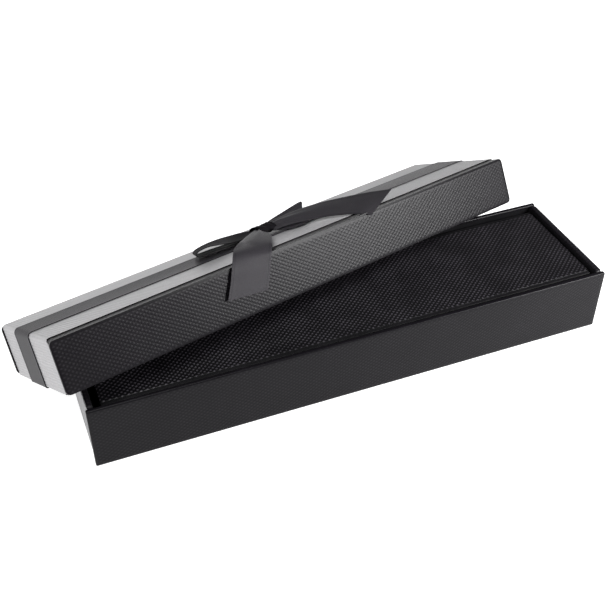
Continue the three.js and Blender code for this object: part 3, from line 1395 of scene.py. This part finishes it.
@dataclass
class Bow:
    """The bow: a knot, two loops and two tails of the same ribbon, in the lid's frame."""

    finishes: Finishes
    frame: LidFrame

    def build(self) -> None:
        """Make the bow's pieces."""
        self.shop = Workshop(self.frame.matrix, Body.LID)
        # The left loop and the knot take the darker satin: painted shade where the ribbon lies in
        # shade.
        satin, painted_shade_satin = self.finishes.tail, self.finishes.loop
        self._piece("bow_left_loop", self._left_loop(), painted_shade_satin)
        self._piece("bow_right_loop", self._right_loop(), satin)
        self._piece("bow_right_tail", self._right_tail(), satin)
        self._piece("bow_front_tail", self._front_tail(), satin)
        self._piece("bow_knot", self._knot(), painted_shade_satin)
        self._core()

    def _piece(
        self, node: str, strip: RibbonStrip, material: bpy.types.Material
    ) -> None:
        """Finish one strip and say what cloth it is.

        Args:
            node: The CAD node that it stands for.
            strip: The strip.
            material: The satin, or its darker copy that is painted with shade.
        """
        piece = self.shop.finish(strip.shape(), f"{node}_satin", material, Slot.RIBBON, [node])
        strip.length() * MM

    @staticmethod
    def _left_loop() -> RibbonStrip:
        """Give the left loop, a flat hairpin that lies along the band."""
        return RibbonStrip(
            stations=[
                ((-3.0, 0.8, 21.3), (-3.0, 7.2, 21.3), -0.4),
                ((-9.0, -0.6, 20.9), (-9.0, 9.4, 20.9), -0.2),
                ((-16.0, -1.0, 20.9), (-15.5, 10.8, 20.9), 0.0),
                ((-22.5, -1.0, 21.3), (-21.0, 11.0, 21.1), 0.0),
                ((-28.8, -1.0, 21.5), (-26.0, 11.0, 21.2), 0.0),
                ((-31.8, -1.0, 22.2), (-27.9, 11.0, 21.7), 0.0),
                ((-32.3, -1.0, 23.1), (-28.2, 11.0, 22.3), 0.0),
                ((-31.0, -1.0, 24.1), (-26.6, 11.0, 23.1), 0.0),
                ((-26.6, -1.0, 24.4), (-22.0, 11.0, 23.7), 0.1),
                ((-21.2, -1.0, 23.5), (-16.0, 11.0, 23.7), 0.2),
                ((-15.8, -1.0, 22.5), (-10.4, 10.7, 23.3), 0.4),
                ((-10.0, -0.5, 22.1), (-6.0, 9.7, 23.0), 0.5),
                ((-3.0, 0.6, 22.8), (-1.2, 8.0, 22.4), 0.6),
            ],
            along=110,
            pleats=0.22,
        )

    @staticmethod
    def _right_loop() -> RibbonStrip:
        """Give the right loop, which stands on its edge behind the tail."""
        return RibbonStrip(
            stations=[
                ((3.8, 6.0, 23.3), (3.8, -0.6, 20.9), 0.0),
                ((8.4, 7.0, 23.3), (7.0, -6.6, 20.6), 0.2),
                ((15.5, 7.2, 24.2), (12.8, -8.6, 20.6), 0.1),
                ((21.6, 7.3, 25.3), (17.4, -6.0, 20.7), 0.0),
                ((24.2, 7.8, 25.8), (17.4, -2.0, 21.0), 0.0),
                ((25.0, 8.6, 26.0), (17.7, -0.8, 21.0), 0.0),
                ((23.8, 9.3, 26.2), (17.0, 0.6, 20.8), 0.0),
                ((16.2, 9.2, 25.0), (13.0, 1.2, 20.7), 0.0),
                ((8.4, 8.6, 23.8), (7.8, 1.0, 20.7), 0.0),
                ((3.8, 6.8, 23.0), (3.8, 0.6, 20.9), 0.0),
            ],
            along=90,
            width=12.0,
            pleats=0.1,
        )

    @staticmethod
    def _right_tail() -> RibbonStrip:
        """Give the right tail, which turns its face forward as it leaves the knot."""
        return RibbonStrip(
            stations=[
                ((3.6, 6.4, 23.2), (3.0, -1.6, 21.0), 0.9),
                ((9.0, 6.0, 23.8), (7.4, -5.0, 21.8), 1.2),
                ((18.4, 2.5, 24.8), (14.2, -8.8, 21.5), 0.9),
                ((27.0, -2.8, 25.1), (20.6, -13.0, 20.9), 0.6),
                ((34.6, -11.0, 25.0), (24.6, -21.4, 20.6), 0.3),
                ((40.2, -18.6, 24.8), (28.2, -26.8, 19.6), 0.3),
                ((45.6, -26.4, 24.2), (31.0, -29.4, 18.1), 0.2),
            ],
            along=90,
            pleats=0.3,
        )

    @staticmethod
    def _front_tail() -> RibbonStrip:
        """Give the front tail, which goes over the lid's front edge and down its front."""
        return RibbonStrip(
            stations=[
                ((-2.0, -1.2, 21.6), (-3.6, 2.6, 23.0), 1.0),
                ((-3.2, -8.6, 21.7), (-9.0, -3.0, 23.6), 1.2),
                ((-7.6, -17.0, 21.9), (-17.0, -11.0, 24.0), 0.9),
                ((-12.8, -25.2, 21.6), (-25.4, -19.6, 24.1), 0.6),
                ((-15.6, -28.6, 19.6), (-30.4, -26.4, 23.2), 0.5),
                ((-17.4, -28.8, 16.0), (-33.4, -28.9, 19.4), 0.4),
                ((-19.6, -28.8, 11.1), (-36.0, -29.2, 14.2), 0.3),
                ((-21.9, -28.9, 6.8), (-38.9, -29.3, 8.9), 0.2),
            ],
            along=90,
            pleats=0.25,
        )

    @staticmethod
    def _knot() -> RibbonStrip:
        """Give the knot, a gathered turn of ribbon round the crossing."""
        stations = []
        turns = 12
        for step in range(turns + 1):
            angle = math.radians(-150.0 + 300.0 * step / turns)
            y = 2.9 - 4.6 * math.sin(angle)
            z = 22.3 + 2.0 * math.cos(angle)
            lean = 0.5 * math.sin(angle)
            stations.append(((-2.9 + lean, y, z), (4.4 + lean, y + 0.6, z), 0.6))
        return RibbonStrip(
            stations=stations, along=72, across=40, width=10.1, pleats=0.3, pleat_reach=50.0
        )

    def _core(self) -> None:
        """Make the crossing inside the knot, where the ribbon is bunched together."""
        core = bmesh.new()
        bmesh.ops.create_icosphere(core, subdivisions=4, radius=1.0)
        for vert in core.verts:
            place = vert.co
            fold = 0.12 * math.cos(math.atan2(place.z, place.y) * 5.0)
            place.x = 0.3 + place.x * 3.6
            place.y = 3.0 + place.y * (4.0 + fold)
            place.z = 22.2 + place.z * (1.6 + fold)
        # The core takes the darker satin: painted shade inside the knot.
        self.shop.finish(core, "bow_knot_core", self.finishes.loop, Slot.RIBBON)


# ---------------------------------------------------------------- the studio


@dataclass(frozen=True)
class Softbox:
    """A large soft light."""

    name: str
    place: tuple[float, float, float]
    target: tuple[float, float, float]
    width: float
    height: float
    power: float

    def build(self) -> None:
        """Make the light."""
        light = bpy.data.lights.new(self.name, "AREA")
        light.shape = "RECTANGLE"
        light.size = self.width
        light.size_y = self.height
        light.energy = self.power
        lamp = bpy.data.objects.new(self.name, light)
        lamp.location = self.place
        way = Vector(self.target) - Vector(self.place)
        lamp.rotation_euler = way.to_track_quat("-Z", "Y").to_euler()
        bpy.context.scene.collection.objects.link(lamp)


@dataclass
class Studio:
    """The floor, the lights and the camera."""

    azimuth: float = -21.735
    elevation: float = 39.685
    camera_place: tuple[float, float, float] = (-0.120363, -0.266752, 0.264681)
    lens: float = 58.33
    surround: float = 0.10

    def build(self) -> None:
        """Make the studio."""
        self._floor()
        self._surround()
        for softbox in (
            Softbox("overhead_light", (-0.18, -0.05, 1.1), (0, 0, 0), 0.9, 0.5, 8.5),
            Softbox("left_light", (-0.85, -0.35, 0.40), (-0.08, 0, 0.03), 0.5, 0.5, 4.2),
            Softbox("right_light", (0.31, -0.23, 0.20), (0.08, -0.02, 0.02), 0.16, 0.16, 4.0),
            Softbox("back_light", (-0.60, 0.70, 0.60), (-0.03, 0, 0.03), 0.7, 0.4, 4.0),
        ):
            softbox.build()
        self._camera()

    def _floor(self) -> None:
        """Make the plain pale floor."""
        shape = bmesh.new()
        bmesh.ops.create_grid(shape, x_segments=1, y_segments=1, size=6.0)
        mesh = bpy.data.meshes.new("floor")
        shape.to_mesh(mesh)
        shape.free()
        sketch = NodeSketch("pale_floor")
        normal = sketch.bump(sketch.noise(40.0, 2.0), 0.00002)
        mesh.materials.append(
            sketch.finish(
                normal,
                Base_Color=(0.5, 0.5, 0.5, 1.0),
                Roughness=0.7,
                Emission_Color=(1.0, 1.0, 1.0, 1.0),
                Emission_Strength=0.86,
            )
        )
        floor = bpy.data.objects.new("floor", mesh)
        floor.location.z = -0.0002
        bpy.context.scene.collection.objects.link(floor)

    def _surround(self) -> None:
        """Make the even light all round."""
        world = bpy.data.worlds.new("surround")
        world.use_nodes = True
        background = world.node_tree.nodes["Background"]
        background.inputs["Color"].default_value = (1.0, 1.0, 1.0, 1.0)
        background.inputs["Strength"].default_value = self.surround
        bpy.context.scene.world = world

    def _camera(self) -> None:
        """Make the camera."""
        lens = bpy.data.cameras.new("camera")
        lens.lens = self.lens
        lens.sensor_width = 36.0
        lens.clip_start = 0.01
        lens.clip_end = 20.0
        camera = bpy.data.objects.new("camera", lens)
        turn, rise = math.radians(self.azimuth), math.radians(self.elevation)
        back = Vector(
            (math.sin(turn) * math.cos(rise), -math.cos(turn) * math.cos(rise), math.sin(rise))
        )
        camera.location = self.camera_place
        camera.rotation_euler = (-back).to_track_quat("-Z", "Y").to_euler()
        bpy.context.scene.collection.objects.link(camera)
        bpy.context.scene.camera = camera


def main() -> None:
    """Build the whole scene."""
    logging.basicConfig(level=logging.INFO, format="%(name)s: %(message)s")
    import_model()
    bpy.context.scene.view_settings.view_transform = "Standard"
    Studio().build()
    finishes = Finishes()
    Tray(finishes).build()
    Insert(finishes).build()
    lid_frame = LidFrame()
    log.info("lid %.2f x %.2f x %.2f mm", lid_frame.length, lid_frame.width, lid_frame.height)
    Lid(finishes, lid_frame).build()
    Bow(finishes, lid_frame).build()


if __name__ == "__main__":
    main()
